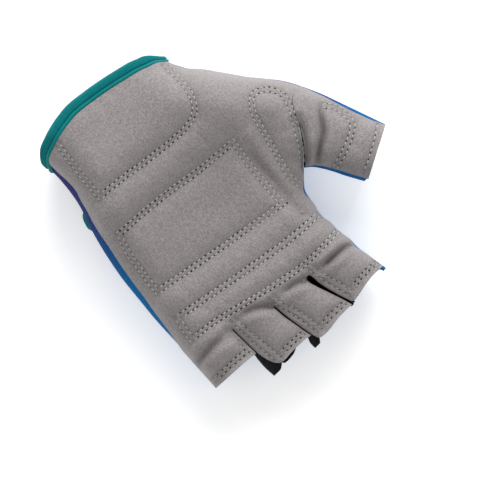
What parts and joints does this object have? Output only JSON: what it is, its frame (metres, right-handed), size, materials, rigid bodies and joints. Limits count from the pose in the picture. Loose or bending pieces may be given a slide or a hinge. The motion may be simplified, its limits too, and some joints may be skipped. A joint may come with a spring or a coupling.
{
  "type": "sailing glove",
  "caption": "Left-hand sailing glove with cut-off fingers: quilted grey suede palm, navy to blue stretch back, teal elastic wrist binding and a hook-and-loop strap.",
  "frame": {"origin": "middle of the glove's footprint, on the plane its back rests on", "axes": "+Z out of the palm, +Y from the wrist to the fingers, -X to the thumb"},
  "size_m": [0.1228, 0.1382, 0.0415],
  "materials": {
    "suede": "napped grey synthetic suede, quilted",
    "navy_stretch": "knitted stretch fabric, navy fading to bright blue towards the fingers",
    "blue_stretch": "knitted stretch fabric, bright blue",
    "teal_elastic": "ribbed folded elastic",
    "black_stretch": "fine black stretch knit",
    "foam": "thin felted foam padding",
    "hook_tape": "moulded nylon hooks",
    "loop_tape": "brushed nylon loops"
  },
  "bodies": {
    "glove_body": {"palm_panel": "suede", "back_panel": "navy_stretch", "cuff_binding": "teal_elastic", "heel_pad": "foam", "centre_pad": "foam", "knuckle_pad": "foam", "web_pad": "foam", "slit_gusset_1": "black_stretch", "slit_gusset_2": "black_stretch", "slit_gusset_3": "black_stretch", "strap_root": "navy_stretch", "loop_patch": "loop_tape"},
    "index_stall": {"index_palm_face": "suede", "index_back_face": "blue_stretch", "index_fourchette_little_side": "black_stretch"},
    "middle_stall": {"middle_palm_face": "suede", "middle_back_face": "blue_stretch", "middle_fourchette_thumb_side": "black_stretch", "middle_fourchette_little_side": "black_stretch"},
    "ring_stall": {"ring_palm_face": "suede", "ring_back_face": "blue_stretch", "ring_fourchette_thumb_side": "black_stretch", "ring_fourchette_little_side": "black_stretch"},
    "little_stall": {"little_palm_face": "suede", "little_back_face": "blue_stretch", "little_fourchette_thumb_side": "black_stretch"},
    "thumb_stall": {"thumb_palm_face": "suede", "thumb_back_face": "blue_stretch", "thumb_pad": "foam"},
    "closure_strap": {"wrist_strap": "navy_stretch", "hook_patch": "hook_tape", "pull_tab": "teal_elastic"}
  },
  "joints": [
    {"name": "index_flex", "type": "hinge", "parent": "glove_body", "child": "index_stall", "pos_m": [-0.00815, 0.04835, 0.02686], "axis": [0.9806, 0.1961, 0], "range_deg": [0, 70], "stiffness_Nm_per_rad": 0.006},
    {"name": "middle_flex", "type": "hinge", "parent": "glove_body", "child": "middle_stall", "pos_m": [0.0125, 0.0476, 0.02683], "axis": [0.985, 0.1724, 0], "range_deg": [0, 70], "stiffness_Nm_per_rad": 0.006},
    {"name": "ring_flex", "type": "hinge", "parent": "glove_body", "child": "ring_stall", "pos_m": [0.03072, 0.04475, 0.02712], "axis": [0.9967, 0.0807, 0], "range_deg": [0, 70], "stiffness_Nm_per_rad": 0.006},
    {"name": "little_flex", "type": "hinge", "parent": "glove_body", "child": "little_stall", "pos_m": [0.05053, 0.0411, 0.02783], "axis": [1, 0, 0], "range_deg": [0, 70], "stiffness_Nm_per_rad": 0.006},
    {"name": "thumb_flex", "type": "hinge", "parent": "glove_body", "child": "thumb_stall", "pos_m": [-0.03705, 0.0039, 0.03259], "axis": [0.6802, 0.733, 0], "range_deg": [0, 50], "stiffness_Nm_per_rad": 0.01},
    {"name": "strap_peel", "type": "hinge", "parent": "glove_body", "child": "closure_strap", "pos_m": [0.0027, -0.0294, 0.00111], "axis": [0, 1, 0], "range_deg": [0, 120]}
  ]
}
